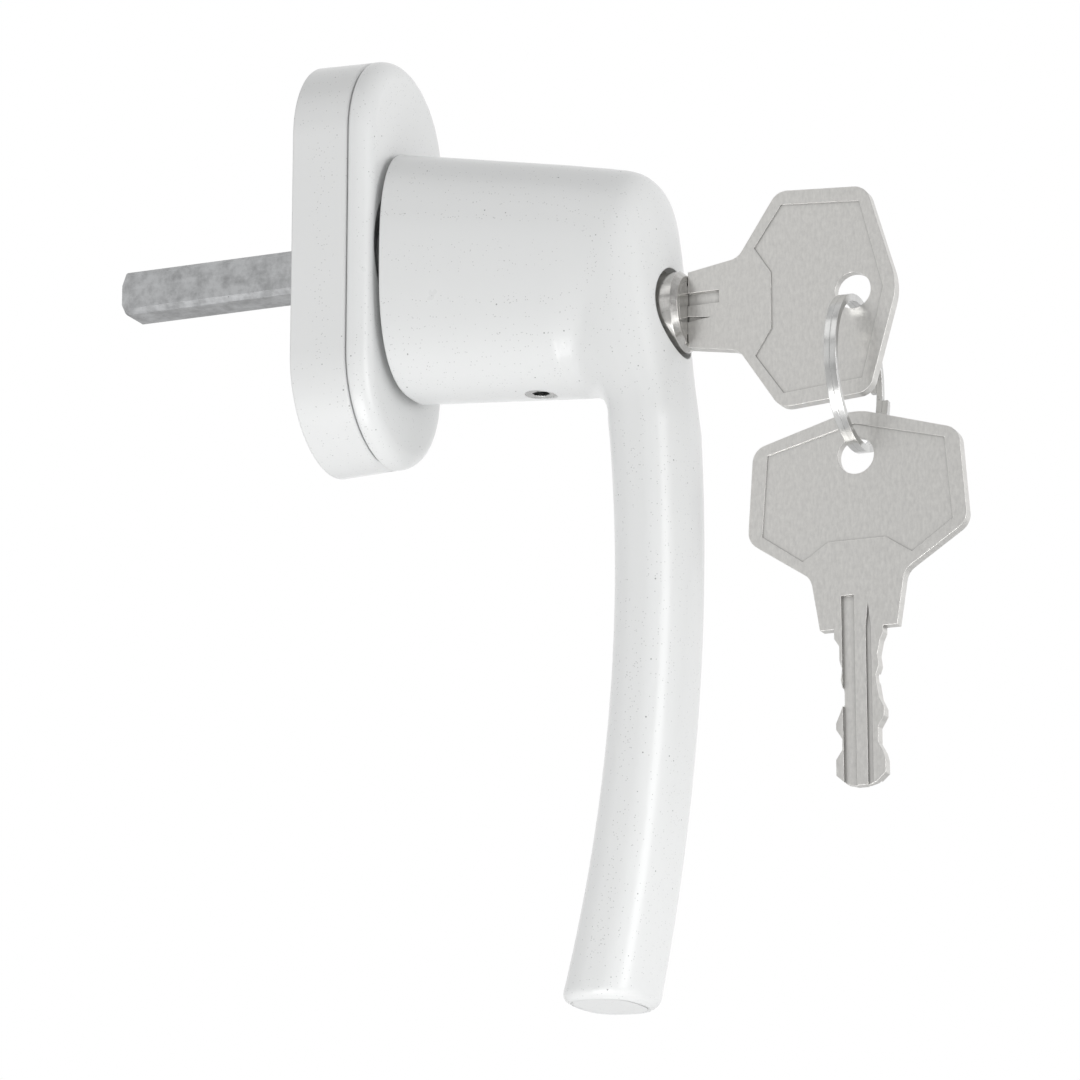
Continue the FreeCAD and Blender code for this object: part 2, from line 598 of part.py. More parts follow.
def latch_ramp():
    """The sloping side of the latch's notch, which lets the latch come out as the lock goes in."""
    ramp = doc.addObject("Part::Wedge", "latch_ramp")
    bind(ramp, "Xmin", "0")
    bind(ramp, "X2min", "0")
    bind(ramp, "Xmax", "lock_radius + latch_throw + 0.3")
    bind(ramp, "X2max", "lock_radius + 0.25")
    bind(ramp, "Ymin", "0")
    bind(ramp, "Ymax", "lock_travel + 0.2")
    for bottom, top in (("Zmin", "Zmax"), ("Z2min", "Z2max")):
        bind(ramp, bottom, "-latch_half_height - 0.1")
        bind(ramp, top, "latch_half_height + 0.1")
    ramp.Placement.Rotation = FreeCAD.Rotation(FreeCAD.Vector(1, 0, 0), 180)
    bind(ramp, "Placement.Base.y", "-(latch_front - lock_travel)")
    bind(ramp, "Placement.Base.z", "-lock_drop")
    return ramp


def spindle():
    """Square bar with bevelled corners and a tapered tip."""
    bar = block("spindle_bar", "-spindle_side / 2", "spindle_side / 2", "spindle_front", "-spindle_reach",
                "-spindle_side / 2", "spindle_side / 2")
    doc.recompute()
    tip_edges = [index for index, edge in enumerate(bar.Shape.Edges, start=1)
                 if edge.BoundBox.YMin > number("spindle_reach") - 0.01]
    tip = doc.addObject("Part::Chamfer", "spindle_tip_bevel")
    tip.Base = bar
    tip.Edges = [(index, number("spindle_tip"), number("spindle_tip_inset")) for index in tip_edges]
    doc.recompute()
    long_edges = [index for index, edge in enumerate(tip.Shape.Edges, start=1)
                  if edge.BoundBox.YLength > number("spindle_front")]
    corners = doc.addObject("Part::Chamfer", "spindle")
    corners.Base = tip
    corners.Edges = [(index, number("spindle_bevel"), number("spindle_bevel")) for index in long_edges]
    return finished(corners, "spindle")


def square_hole(name, front, back):
    half = "spindle_side / 2 + square_play"
    return block(name, f"-({half})", half, f"{front} + 1", f"{back} - 1", f"-({half})", half)


def detent_rotor():
    """Notched ring on the spindle, with a notch for the balls at each quarter turn."""
    ring = rod("rotor_blank", "rotor_radius", "rotor_front", "rotor_back")
    notches = []
    for x, z in ((0, 1), (0, -1), (1, 0), (-1, 0)):
        notches.append(rod(f"rotor_notch_{len(notches)}", "ball_radius", "rotor_front + 1", "rotor_back - 1",
                           x=f"{x} * (ball_centre - 0.9)", z=f"{z} * (ball_centre - 0.9)"))
    hole = square_hole("rotor_square", "rotor_front", "rotor_back")
    return finished(cut("detent_rotor", ring, notches + [hole]), "detent_rotor")


def backing_disc():
    """Zinc disc round the spindle with four raised marks and a notch in its edge."""
    body = new_body("backing_disc")
    outline = sketch_on(body, "XZ_Plane", "disc_back")
    circle(outline, "0", "0", "disc_radius")
    pad(body, outline, "disc_front - disc_back")
    marks = sketch_on(body, "XZ_Plane", "disc_back - mark_rise")
    for x, z in (("mark_circle", "0"), ("-mark_circle", "0"), ("0", "mark_circle"), ("0", "-mark_circle")):
        for radius in ("mark_radius", "mark_inner", "mark_centre"):
            circle(marks, x, z, radius)
    pad(body, marks, "mark_rise + 0.2")
    square = sketch_on(body, "XZ_Plane", "disc_back")
    half = "(spindle_side / 2 + square_play + 0.15)"
    rectangle(square, f"-{half}", half, f"-{half}", half)
    pocket(body, square, "disc_front - disc_back + 1", forwards=True)
    notch = sketch_on(body, "XZ_Plane", "disc_back")
    circle(notch, "0.72 * disc_radius", "-0.72 * disc_radius", "disc_notch")
    pocket(body, notch, "disc_front - disc_back + 1", forwards=True)
    return finished(body, "backing_disc")


def wave_washer():
    """Thin bright steel ring between the disc and the detent."""
    return finished(tube("wave_washer", "washer_outer", "rotor_radius + 0.6", "washer_front",
                         "washer_front - washer_thickness"), "wave_washer")


def circlip():
    """Open spring ring in the hub's groove, which keeps the lever in the rosette."""
    ring = tube("clip_ring", "clip_outer", "clip_inner", "clip_front", "clip_front - clip_thickness")
    gap = block("clip_gap", "-1.6", "1.6", "clip_front + 1", "clip_front - clip_thickness - 1",
                "0", "clip_outer + 1")
    return finished(cut("circlip", ring, [gap]), "circlip")


def guide_bush():
    """Thin metal sleeve in the lever's mouth, round the lock cylinder."""
    return finished(tube("guide_bush", "bush_outer", "lock_radius + lock_play", "bush_front", "bush_back",
                         z="-lock_drop"), "guide_bush")


def retaining_screw():
    """Hexagon socket screw under the neck; its tip runs in a slot and keeps the cylinder in."""
    parts = []
    for name, radius, low, high in (("screw_thread", "screw_radius", "screw_level", "screw_shoulder"),
                                    ("screw_dog", "screw_tip_radius", "screw_shoulder", "screw_tip_level")):
        bar = doc.addObject("Part::Cylinder", name)
        bind(bar, "Radius", radius)
        bind(bar, "Height", f"{high} - ({low})")
        bind(bar, "Placement.Base.y", "-screw_depth")
        bind(bar, "Placement.Base.z", low)
        parts.append(bar)
    socket = doc.addObject("Part::Prism", "screw_socket")
    socket.Polygon = 6
    bind(socket, "Circumradius", "socket_across / 1.7320508")
    bind(socket, "Height", "socket_deep + 1")
    bind(socket, "Placement.Base.y", "-screw_depth")
    bind(socket, "Placement.Base.z", "screw_level - 1")
    return finished(cut("retaining_screw", joined("screw_blank", parts), [socket]), "retaining_screw")


def return_spring():
    """Pushes the lock cylinder out to the room."""
    return finished(coil("return_spring", "spring_radius", "spring_wire", "lock_back - bore_back", 7,
                         ("0", "-lock_back", "-spring_drop"), ALONG_Y), "return_spring")


# The lock --------------------------------------------------------------------------------------------

def cylinder_body():
    """Plated lock body with a bevelled rim, bored for the plug and slotted for the screw's tip."""
    z = "-lock_drop"
    barrel = rod("lock_barrel", "lock_radius", "lock_front - lock_bevel", "lock_back", z=z)
    nose = doc.addObject("Part::Cone", "lock_nose")
    nose.Placement = FreeCAD.Placement(FreeCAD.Vector(), ALONG_Y)
    bind(nose, "Radius1", "lock_face")
    bind(nose, "Radius2", "lock_radius")
    bind(nose, "Height", "lock_bevel")
    bind(nose, "Placement.Base.y", "-lock_front")
    bind(nose, "Placement.Base.z", z)
    tools = [
        rod("plug_bore", "plug_radius + plug_play", "lock_front + 1", "plug_bore_back", z=z),
        tube("clip_seat", "plug_radius + plug_play + 0.5", "plug_radius - 0.5",
             "ring_groove_front + 0.02", "ring_groove_front - ring_groove - 0.02", z=z),
        block("screw_slot", "-screw_tip_radius - 0.1", "screw_tip_radius + 0.1",
              "screw_depth + lock_travel + screw_tip_radius + 0.2", "screw_depth - screw_tip_radius - 0.2",
              "-lock_drop - lock_radius - 1", "screw_tip_level + 0.2"),
        rod("pin_socket", "lock_pin_radius", "lock_pin_front", "lock_back - 1", z="-pin_circle"),
        block("latch_way", "latch_spring_inner", "lock_radius + 1", "latch_front + 0.05",
              "latch_back - 0.05", "-lock_drop - latch_half_height - 0.05",
              "-lock_drop + latch_half_height + 0.05"),
    ]
    return finished(cut("cylinder_body", joined("lock_blank", [barrel, nose]), tools), "cylinder_body")


def lock_pin():
    """Steel pin that drops into the lock plate when the cylinder is pushed in."""
    shaft = rod("pin_shaft", "lock_pin_radius", "lock_pin_front", "lock_pin_back + 0.5", z="-pin_circle")
    point = doc.addObject("Part::Cone", "pin_point")
    point.Placement = FreeCAD.Placement(FreeCAD.Vector(), ALONG_Y)
    bind(point, "Radius1", "lock_pin_radius")
    bind(point, "Radius2", "lock_pin_radius - 0.4")
    bind(point, "Height", "0.5")
    bind(point, "Placement.Base.y", "-lock_pin_back - 0.5")
    bind(point, "Placement.Base.z", "-pin_circle")
    return finished(joined("lock_pin", [shaft, point]), "lock_pin")


def latch():
    """Small spring bolt that comes out sideways and holds the cylinder in."""
    bolt = block("latch_bolt", "latch_inner", "lock_radius + 0.5", "latch_front", "latch_back",
                 "-lock_drop - latch_half_height", "-lock_drop + latch_half_height")
    trim = rod("latch_trim", "lock_radius - 0.03", "latch_front + 1", "latch_back - 1", z="-lock_drop")
    bar = doc.addObject("Part::Common", "latch")
    bar.Base = bolt
    bar.Tool = trim
    return finished(bar, "latch")


def latch_spring():
    """Pushes the latch out."""
    turn = FreeCAD.Rotation(FreeCAD.Vector(0, 1, 0), 90)
    return finished(coil("latch_spring", "0.75", "0.13", "latch_inner - latch_spring_inner", 3,
                         ("latch_spring_inner", "-(latch_front + latch_back) / 2", "-lock_drop"), turn),
                    "latch_spring")


def keyway(name, front, back):
    """A slot along Y for the key's blade, with a ward on each side."""
    z = "-lock_drop"
    slot = block(f"{name}_slot", "-keyway_half_width", "keyway_half_width", front, back,
                 f"{z} - keyway_half_height", f"{z} + keyway_half_height")
    wards = [block(f"{name}_upper_ward", "-keyway_half_width - 0.1", "-keyway_half_width + ward_reach",
                   f"{front} + 1", f"{back} - 1", f"{z} + ward_near", f"{z} + ward_far"),
             block(f"{name}_lower_ward", "keyway_half_width - ward_reach", "keyway_half_width + 0.1",
                   f"{front} + 1", f"{back} - 1", f"{z} - ward_far", f"{z} - ward_near")]
    return cut(name, slot, wards)


def wafer_depths():
    """The front and back depth of each wafer, from the back of the plug forwards."""
    for index in range(int(number("wafer_count"))):
        back = f"wafer_first + {index} * wafer_pitch"
        yield index, f"{back} + wafer_thickness", back


def cylinder_plug():
    """The turning part with the keyway, slotted across for the wafers."""
    z = "-lock_drop"
    barrel = rod("plug_barrel", "plug_radius", "lock_front", "plug_back", z=z)
    tail = block("plug_square_tail", "-plug_tail", "plug_tail", "plug_back + 0.5", "cam_back",
                 f"{z} - plug_tail", f"{z} + plug_tail")
    tools = [keyway("plug_keyway", "lock_front + 1", "plug_back + 0.4"),
             tube("plug_clip_groove", "plug_radius + 1", "plug_radius - 0.5", "ring_groove_front + 0.02",
                  "ring_groove_front - ring_groove - 0.02", z=z)]
    for index, front, back in wafer_depths():
        play = "0.04"
        tools.append(block(f"wafer_slot_{index}", f"-wafer_half_width - {play}", f"wafer_half_width + {play}",
                           f"{front} + {play}", f"{back} - {play}", f"{z} - plug_radius - 1",
                           f"{z} + plug_radius + 1"))
        tools.append(block(f"coil_pocket_{index}", "wafer_half_width - 0.1", f"lug_reach + {play}",
                           f"{front} + {play}", f"{back} - {play}", f"{z} - 1.9", f"{z} + 1.9"))
    return finished(cut("cylinder_plug", joined("plug_blank", [barrel, tail]), tools), "cylinder_plug")


def plug_clip():
    """Open ring between the plug and the lock body."""
    z = "-lock_drop"
    ring = tube("plug_clip_ring", "plug_radius + plug_play + 0.45", "plug_radius - 0.45", "ring_groove_front",
                "ring_groove_front - ring_groove", z=z)
    gap = block("plug_clip_gap", "0", "plug_radius + 1", "ring_groove_front + 1",
                "ring_groove_front - ring_groove - 1", f"{z} - 1", f"{z} + 1")
    return finished(cut("plug_clip", ring, [gap]), "plug_clip")


def cam():
    """Plate on the plug's square tail, cut back on one side so that its step can draw the latch."""
    z = "-lock_drop"
    disc = rod("cam_disc", "cam_radius", "cam_front", "cam_back", z=z)
    relief = block("cam_relief", "plug_tail + 0.6", "cam_radius + 1", "cam_front + 1", "cam_back - 1",
                   f"{z} - cam_radius - 1", f"{z} + 0.4")
    square = block("cam_square", "-plug_tail - 0.02", "plug_tail + 0.02", "cam_front + 1", "cam_back - 1",
                   f"{z} - plug_tail - 0.02", f"{z} + plug_tail + 0.02")
    return finished(cut("cam", disc, [relief, square]), "cam")


def wafers():
    """Five flat tumblers, each a frame round the blade with a lug for its spring."""
    z = "-lock_drop"
    plates = []
    for index, front, back in wafer_depths():
        blank = doc.addObject("Part::Common", f"wafer_blank_{index}")
        blank.Base = rod(f"wafer_round_{index}", "wafer_radius", front, back, z=z)
        blank.Tool = block(f"wafer_width_{index}", "-wafer_half_width", "wafer_half_width", f"{front} + 1",
                           f"{back} - 1", f"{z} - plug_radius", f"{z} + plug_radius")
        lug = block(f"wafer_lug_{index}", "wafer_half_width - 0.2", "lug_reach", front, back,
                    f"{z} + 0.9", f"{z} + 1.7")
        window = block(f"wafer_window_{index}", "-keyway_half_width - 0.1", "keyway_half_width + 0.1",
                       f"{front} + 1", f"{back} - 1", f"{z} - keyway_half_height - 0.06",
                       f"{z} + keyway_half_height + 0.06")
        plates.append(cut(f"wafer_{index}", joined(f"wafer_outline_{index}", [blank, lug]), [window]))
    return finished(joined("wafers", plates), "wafers")


def wafer_springs():
    """One small spring under each wafer's lug."""
    springs = []
    upright = FreeCAD.Rotation()
    for index, front, back in wafer_depths():
        middle = f"-(({front}) + ({back})) / 2"
        springs.append(coil(f"wafer_spring_{index}", "coil_radius - coil_wire", "coil_wire", "2.7", 4,
                            ("coil_centre", middle, "-lock_drop - 1.85"), upright))
    return finished(joined("wafer_springs", springs), "wafer_springs")


# Keys ------------------------------------------------------------------------------------------------

# The bitting: half widths taken off the blade's edge, from the shoulder to the tip, as shares of the
# blade's length and of its half width.
UPPER_CUTS = ((0.06, 1.0), (0.11, 0.80), (0.20, 0.80), (0.26, 0.70), (0.33, 0.76), (0.40, 0.66), (0.48, 0.66),
              (0.55, 0.84), (0.60, 0.98), (0.64, 0.98), (0.70, 0.74), (0.77, 0.74), (0.83, 1.0), (0.93, 1.0))
LOWER_CUTS = ((0.04, 1.0), (0.09, 0.86), (0.18, 0.74), (0.25, 0.80), (0.31, 0.66), (0.38, 0.72), (0.46, 0.80),
              (0.52, 0.98), (0.57, 0.98), (0.64, 0.72), (0.74, 0.72), (0.80, 0.92), (0.85, 1.0), (0.93, 1.0))


def key_outline():
    """The flat key's corners as (length, width) pairs; length is 0 at the shoulder, positive in the bow."""
    blade = [(f"-{share} * blade_length", f"{height} * blade_half") for share, height in UPPER_CUTS]
    blade += [("-blade_length + 0.35", "0.62 * blade_half"), ("-blade_length", "0.3 * blade_half"),
              ("-blade_length", "-0.3 * blade_half"), ("-blade_length + 0.35", "-0.62 * blade_half")]
    blade += [(f"-{share} * blade_length", f"-{height} * blade_half") for share, height in reversed(LOWER_CUTS)]
    upper = [("0", "blade_half"), ("0", "stem_half"), ("stem_length", "stem_top_half"),
             ("bow_side_low", "bow_half"), ("bow_side_high", "bow_half - bow_taper")]
    bow = [(x, f"-({y})") for x, y in upper] + [("bow_length", "0")] + list(reversed(upper))
    return blade + bow


def flat_key(name):
    """A flat key lying in the YZ plane with its blade towards +Y and its shoulder at Y = 0."""
    body = new_body(name)
    outline = sketch_on(body, "YZ_Plane")
    polygon(outline, [(f"-({length})", width) for length, width in key_outline()])
    plate = pad(body, outline, "key_thickness")
    plate.Midplane = True
    doc.recompute()
    for low, high, radius in (("stem_length - 1", "bow_length - 2", "key_round"),
                              ("bow_length - 2", "bow_length + 1", "peak_round")):
        nearest, furthest = -number(low), -number(high)

        def corner(edge):
            across = edge.BoundBox.XLength > number("key_thickness") - 0.01
            return across and furthest < edge.BoundBox.Center.y < nearest
        dress(body, "Fillet", corner, radius)
    hole = sketch_on(body, "YZ_Plane")
    circle(hole, "-key_hole_at", "0", "key_hole")
    pocket(body, hole, "key_thickness + 1", both_ways=True)
    low_side = ("-(bow_side_low + 0.6)", "bow_half - panel_inset")
    high_side = ("-(bow_side_high - 1.1)", "bow_half - bow_taper - panel_inset")
    waist = ("-(stem_length + 2.6)", "stem_top_half + 1.2")
    neck = ("-(stem_length + 5.2)", "4.4")
    half = [high_side, low_side, waist, neck]
    panel = [("-(bow_length - panel_inset)", "0")] + [(x, f"-({y})") for x, y in half] + list(reversed(half))
    for side, towards_centre in (("", False), ("-", True)):
        sign = -1 if side == "" else 1
        face = sketch_on(body, "YZ_Plane", f"{side}key_thickness / 2")
        polygon(face, panel)
        pocket(body, face, "panel_deep", forwards=towards_centre)
        groove = sketch_on(body, "YZ_Plane", f"{side}key_thickness / 2")
        near, far = ("-groove_far", "-groove_near") if sign < 0 else ("groove_near", "groove_far")
        rectangle(groove, "-groove_start * stem_length", "blade_length + 1", near, far)
        pocket(body, groove, "groove_deep", forwards=towards_centre)
        rill = sketch_on(body, "YZ_Plane", f"{side}key_thickness / 2")
        polygon(rill, [("-rill_start * stem_length", f"{-sign} * rill_middle"),
                       ("0", f"{-sign} * rill_middle - rill_half_width"),
                       ("blade_length + 1", f"{-sign} * rill_middle - rill_half_width"),
                       ("blade_length + 1", f"{-sign} * rill_middle + rill_half_width"),
                       ("0", f"{-sign} * rill_middle + rill_half_width")])
        pocket(body, rill, "rill_deep", forwards=towards_centre)
    return body


def place_key(body, name, place, turn):
    """Put a key where it belongs."""
    body.Placement.Rotation = turn
    for letter, expression in zip("xyz", place):
        bind(body, f"Placement.Base.{letter}", expression)
    return finished(body, name)


def keys():
    """One key in the lock, and the spare hanging from the ring."""
    place_key(flat_key("key_1"), "key_1", ("0", "-lock_front - 0.1", "-lock_drop"), FreeCAD.Rotation())
    downwards = FreeCAD.Rotation(FreeCAD.Vector(1, 0, 0), -90)
    hole_depth = "lock_front + 0.1 + key_hole_at"
    hang = "-lock_drop - ring_drop - 2 * ring_radius - ring_drop"
    place_key(flat_key("key_2"), "key_2", ("0", f"-({hole_depth})", f"{hang} - key_hole_at"), downwards)


def key_ring():
    """Split ring of two turns of flat wire."""
    helix = doc.addObject("Part::Helix", "ring_helix")
    bind(helix, "Radius", "ring_radius")
    bind(helix, "Pitch", "ring_pitch")
    bind(helix, "Height", "2 * ring_pitch * 0.99")
    wire = doc.addObject("Part::Plane", "ring_section")
    wire.Placement.Rotation = FreeCAD.Rotation(FreeCAD.Vector(1, 0, 0), 90)
    bind(wire, "Length", "ring_thick")
    bind(wire, "Width", "ring_width")
    bind(wire, "Placement.Base.x", "ring_radius - ring_thick / 2")
    bind(wire, "Placement.Base.z", "-ring_width / 2")
    ring = doc.addObject("Part::Sweep", "key_ring")
    ring.Sections = [wire]
    ring.Spine = (helix, ["Edge1"])
    ring.Solid = True
    ring.Frenet = True
    doc.recompute()
    ring.Placement.Rotation = FreeCAD.Rotation(FreeCAD.Vector(1, 0, 0), 90)
    bind(ring, "Placement.Base.y", "-(lock_front + 0.1 + key_hole_at) + ring_pitch * 0.99")
    bind(ring, "Placement.Base.z", "-lock_drop - ring_drop - ring_radius")
    return finished(ring, "key_ring")


MAKERS = (rosette_base, rosette_cover, lock_plate, bearing_bush, detent_carrier, detent_balls, detent_springs,
          handle_lever, spindle, detent_rotor, backing_disc, wave_washer, circlip, guide_bush,
          retaining_screw, return_spring, cylinder_body, lock_pin, latch, latch_spring, cylinder_plug,
          plug_clip, cam, wafers, wafer_springs, keys, key_ring)
for make in MAKERS:
    make()
doc.recompute()

for thing in doc.Objects:
    if "Invalid" in thing.State or "Error" in thing.State:
        raise RuntimeError(f"{thing.Label} failed: {thing.State}")
os.makedirs("parts", exist_ok=True)
for name, part in PARTS:
    if part.Shape.isNull() or not part.Shape.isValid() or part.Shape.Volume <= 0:
        raise RuntimeError(f"{name} has no valid shape")
for name, part in PARTS:
    part.Shape.exportStep(f"parts/{name}.step")
    print(f"{name:18s} {part.Shape.Volume:10.2f} mm3  {len(part.Shape.Solids)} solids")
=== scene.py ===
"""The locking window handle with its keys: powder coat, plated steel and zinc, in a plain white studio."""
import math
import bmesh
import bpy
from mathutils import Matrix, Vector


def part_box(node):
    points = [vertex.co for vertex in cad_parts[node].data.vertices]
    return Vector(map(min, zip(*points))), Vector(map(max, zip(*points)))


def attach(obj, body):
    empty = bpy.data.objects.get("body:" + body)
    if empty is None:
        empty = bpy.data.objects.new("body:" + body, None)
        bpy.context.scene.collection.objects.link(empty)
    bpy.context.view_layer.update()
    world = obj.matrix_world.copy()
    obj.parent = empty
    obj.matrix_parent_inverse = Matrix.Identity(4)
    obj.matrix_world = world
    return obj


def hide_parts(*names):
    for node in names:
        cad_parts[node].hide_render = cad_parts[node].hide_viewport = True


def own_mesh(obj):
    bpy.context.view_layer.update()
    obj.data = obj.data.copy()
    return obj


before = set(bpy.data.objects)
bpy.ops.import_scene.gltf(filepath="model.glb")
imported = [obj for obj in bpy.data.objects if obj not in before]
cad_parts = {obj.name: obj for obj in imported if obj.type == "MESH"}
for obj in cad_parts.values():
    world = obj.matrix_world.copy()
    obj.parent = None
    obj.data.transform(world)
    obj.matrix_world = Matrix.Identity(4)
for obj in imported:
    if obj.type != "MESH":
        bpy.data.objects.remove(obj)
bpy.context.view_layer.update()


def show(piece):
    bpy.context.scene.collection.objects.link(piece)


# Node helpers ----------------------------------------------------------------------------------------

class Graph:
    """A material's node tree with short ways to add and join nodes."""

    def __init__(self, name):
        self.material = bpy.data.materials.new(name)
        self.material.use_nodes = True
        self.tree = self.material.node_tree
        self.shader = self.tree.nodes["Principled BSDF"]
        self.place = self.add("ShaderNodeTexCoord").outputs["Object"]

    def add(self, kind, **settings):
        node = self.tree.nodes.new(kind)
        for key, value in settings.items():
            setattr(node, key, value)
        return node

    def join(self, source, target):
        self.tree.links.new(source, target)

    def stretched(self, scale):
        """The object's coordinates, scaled along each axis."""
        mapping = self.add("ShaderNodeMapping")
        mapping.inputs["Scale"].default_value = scale
        self.join(self.place, mapping.inputs["Vector"])
        return mapping.outputs["Vector"]

    def noise(self, scale, detail=2.0, roughness=0.5, where=None):
        node = self.add("ShaderNodeTexNoise")
        node.inputs["Scale"].default_value = scale
        node.inputs["Detail"].default_value = detail
        node.inputs["Roughness"].default_value = roughness
        self.join(where or self.place, node.inputs["Vector"])
        return node.outputs["Fac"]

    def dots(self, scale, radius, share):
        """Round specks: 1 inside a few of the cells' centres, 0 elsewhere."""
        cells = self.add("ShaderNodeTexVoronoi")
        cells.inputs["Scale"].default_value = scale
        self.join(self.place, cells.inputs["Vector"])
        near = self.ramp(cells.outputs["Distance"], ((radius * 0.6, 1.0), (radius, 0.0)))
        pick = self.add("ShaderNodeSeparateColor")
        self.join(cells.outputs["Color"], pick.inputs["Color"])
        chosen = self.add("ShaderNodeMath", operation="LESS_THAN")
        self.join(pick.outputs["Red"], chosen.inputs[0])
        chosen.inputs[1].default_value = share
        both = self.add("ShaderNodeMath", operation="MULTIPLY")
        self.join(near, both.inputs[0])
        self.join(chosen.outputs["Value"], both.inputs[1])
        return both.outputs["Value"]

    def ramp(self, source, stops):
        """A grey ramp through (position, brightness) stops, or a colour ramp through (position, colour)."""
        node = self.add("ShaderNodeValToRGB")
        elements = node.color_ramp.elements
        while len(elements) < len(stops):
            elements.new(0.5)
        for element, (position, value) in zip(elements, stops):
            element.position = position
            element.color = (*value, 1.0) if isinstance(value, tuple) else (value, value, value, 1.0)
        self.join(source, node.inputs["Fac"])
        return node.outputs["Color"]

    def mixed(self, amount, first, second):
        """First where amount is 0 and second where it is 1. Sockets 6 and 7 are the node's two colours."""
        node = self.add("ShaderNodeMix", data_type="RGBA")
        for socket, value in zip((node.inputs[0], node.inputs[6], node.inputs[7]), (amount, first, second)):
            if isinstance(value, (int, float)):
                socket.default_value = value
            elif isinstance(value, tuple):
                socket.default_value = (*value, 1.0)
            else:
                self.join(value, socket)
        return node.outputs[2]

    def bump(self, height, strength, distance, below=None):
        node = self.add("ShaderNodeBump")
        node.inputs["Strength"].default_value = strength
        node.inputs["Distance"].default_value = distance
        self.join(height, node.inputs["Height"])
        if below is not None:
            self.join(below, node.inputs["Normal"])
        return node.outputs["Normal"]

    def soft_edges(self, radius):
        """The normal as if every sharp edge were rounded, and a mask of those edges."""
        rounded = self.add("ShaderNodeBevel", samples=6)
        rounded.inputs["Radius"].default_value = radius
        flat = self.add("ShaderNodeNewGeometry").outputs["Normal"]
        agree = self.add("ShaderNodeVectorMath", operation="DOT_PRODUCT")
        self.join(rounded.outputs["Normal"], agree.inputs[0])
        self.join(flat, agree.inputs[1])
        return rounded.outputs["Normal"], self.ramp(agree.outputs["Value"], ((0.86, 1.0), (0.99, 0.0)))

    def hollow_shade(self, reach):
        """A mask of grooves and inner corners from ambient occlusion, used to paint shade into them."""
        node = self.add("ShaderNodeAmbientOcclusion", samples=6, only_local=True)
        node.inputs["Distance"].default_value = reach
        return self.ramp(node.outputs["AO"], ((0.45, 1.0), (0.92, 0.0)))

    def finish(self, colour=None, roughness=None, normal=None, **fixed):
        for socket, value in (("Base Color", colour), ("Roughness", roughness), ("Normal", normal)):
            if value is not None:
                self.join(value, self.shader.inputs[socket])
        for socket, value in fixed.items():
            self.shader.inputs[socket.replace("_", " ")].default_value = value
        return self.material


def shaded(colour, share):
    """The colour with each part multiplied by share."""
    return tuple(min(1.0, share * part) for part in colour)


def powder_coat(name, base, speck_share, roughness, peel_depth):
    """White sprayed and baked coat: faint orange peel, slightly uneven gloss and fine dark specks."""
    graph = Graph(name)
    drift = graph.noise(55.0, 3.0)
    tone = graph.ramp(drift, ((0.2, shaded(base, 0.985)), (0.8, base)))
    fine = graph.dots(2300.0, 0.24, speck_share)
    coarse = graph.dots(800.0, 0.12, speck_share * 0.4)
    grey = graph.mixed(fine, tone, shaded(base, 0.70))
    colour = graph.mixed(coarse, grey, shaded(base, 0.42))
    peel = graph.noise(620.0, 2.0)
    swell = graph.noise(150.0, 2.0)
    rounded = graph.soft_edges(0.0003)[0]
    normal = graph.bump(peel, peel_depth, 0.0001, graph.bump(swell, peel_depth / 2.0, 0.0003, rounded))
    rough = graph.ramp(graph.noise(240.0, 3.0), ((0.2, roughness - 0.03), (0.8, roughness + 0.04)))
    return graph.finish(colour, rough, normal, Coat_Weight=0.25, Coat_Roughness=0.12, IOR=1.5)


def plated_steel(name, dark, light, roughness, grain, patch, mottle, pit_share=0.08):
    """Plated metal with cloudy patches and fine lines, scaled on each axis by `grain`; edges painted
    brighter as partly rubbed wear, partly painted highlight; painted shade in grooves and inner corners.
    """
    graph = Graph(name)
    cloud = graph.noise(patch, 6.0, 0.65)
    lines = graph.noise(1.0, 4.0, 0.6, graph.stretched(grain))
    tone = graph.ramp(cloud, ((0.36, dark), (0.62, light)))
    streak = graph.ramp(lines, ((0.3, shaded(light, 0.72)), (0.7, light)))
    colour = graph.mixed(mottle, streak, tone)
    pits = graph.dots(1500.0, 0.16, pit_share)
    colour = graph.mixed(pits, colour, shaded(dark, 0.5))
    rounded, edges = graph.soft_edges(0.00016)
    # Edges painted brighter: partly rubbed wear, partly a painted highlight.
    colour = graph.mixed(edges, colour, shaded(light, 1.22))
    # Painted shade: grooves and inner corners darkened through the ambient-occlusion mask.
    colour = graph.mixed(graph.hollow_shade(0.0009), colour, shaded(dark, 0.55))
    rough = graph.ramp(graph.mixed(0.5, cloud, lines), ((0.3, roughness - 0.07), (0.7, roughness + 0.09)))
    normal = graph.bump(lines, 0.20, 0.00004, graph.bump(cloud, 0.08, 0.0001, rounded))
    return graph.finish(colour, rough, normal, Metallic=1.0)


def plastic(name, base, roughness):
    """Moulded plastic with a faint fine texture."""
    graph = Graph(name)
    drift = graph.noise(80.0, 3.0)
    colour = graph.ramp(drift, ((0.3, shaded(base, 0.93)), (0.7, base)))
    rough = graph.ramp(graph.noise(300.0, 2.0), ((0.3, roughness - 0.05), (0.7, roughness + 0.07)))
    normal = graph.bump(graph.noise(900.0, 2.0), 0.12, 0.00008)
    return graph.finish(colour, rough, normal, IOR=1.47)


